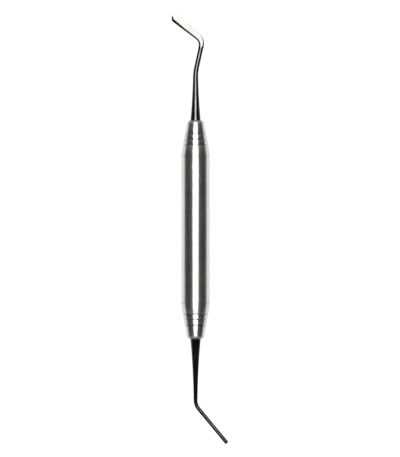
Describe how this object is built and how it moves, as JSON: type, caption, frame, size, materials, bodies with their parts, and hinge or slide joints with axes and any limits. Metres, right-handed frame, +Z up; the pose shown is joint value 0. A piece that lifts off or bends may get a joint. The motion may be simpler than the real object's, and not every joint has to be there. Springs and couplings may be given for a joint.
{
  "type": "dental filling instrument",
  "caption": "Double-ended dental hand instrument: hollow satin steel handle, grooved tapered noses, a bent flat paddle at one end and an angled round condenser at the other.",
  "frame": {"origin": "on the surface that the instrument lies on, under the middle of the handle", "axes": "+X along the handle towards the paddle, +Y to the side that the paddle bends to, +Z up out of the surface"},
  "size_m": [0.1505, 0.0199, 0.01],
  "materials": {
    "barrel_steel": "satin, fine lines running round the tube",
    "nose_steel": "satin as turned, fine lines running round the cone",
    "working_steel": "dark, polished to a mirror, with the paddle's flat ground bright"
  },
  "bodies": {
    "root": {"handle_barrel": "barrel_steel", "paddle_nose": "nose_steel", "paddle_end": "working_steel", "condenser_nose": "nose_steel", "condenser_end": "working_steel"}
  },
  "joints": []
}
